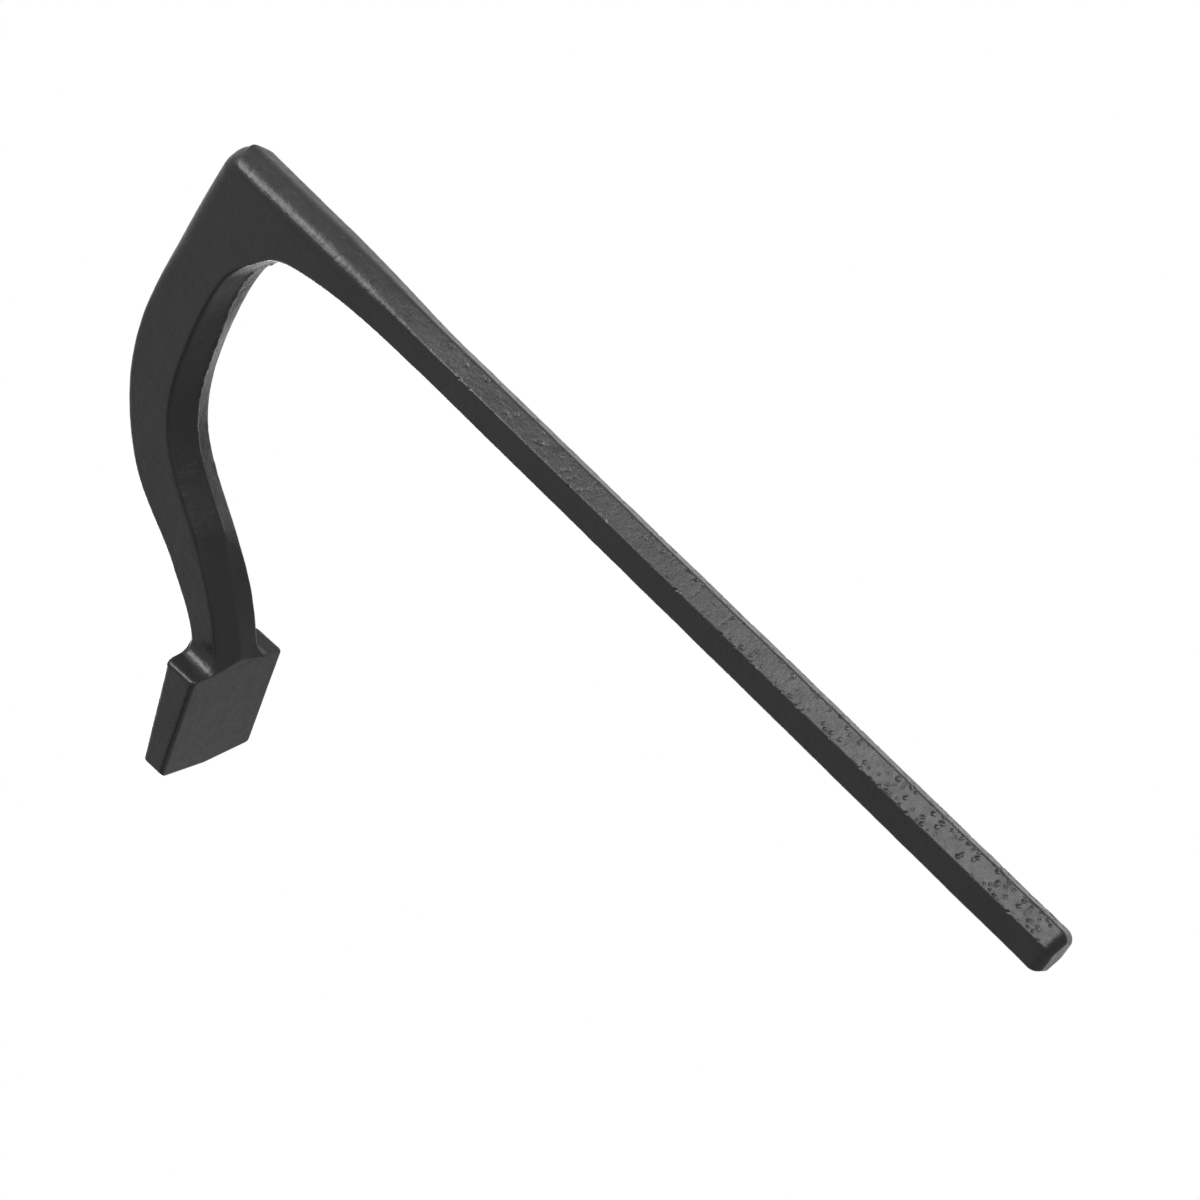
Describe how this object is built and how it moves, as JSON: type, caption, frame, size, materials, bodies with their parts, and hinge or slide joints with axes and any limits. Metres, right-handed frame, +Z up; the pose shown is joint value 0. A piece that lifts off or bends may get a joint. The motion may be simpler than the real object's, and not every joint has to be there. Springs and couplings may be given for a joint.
{
  "type": "bench holdfast",
  "caption": "Cast hold-down for a workbench: a ridged shank that wedges in a round bench hole, a goose-neck arm and a flat clamping pad.",
  "frame": {"origin": "on the shank's axis, at the end of its tip", "axes": "+Z up the shank to the crown, +X from the shank to the pad, +Y across the parting plane Y = 0"},
  "size_m": [0.2275, 0.047, 0.4027],
  "materials": {
    "casting": "satin black paint over the as-cast surface"
  },
  "bodies": {
    "root": {"shank_tip": "casting", "shank": "casting", "neck": "casting", "crown": "casting", "arch": "casting", "drop": "casting", "heel": "casting", "pad": "casting"}
  },
  "joints": []
}
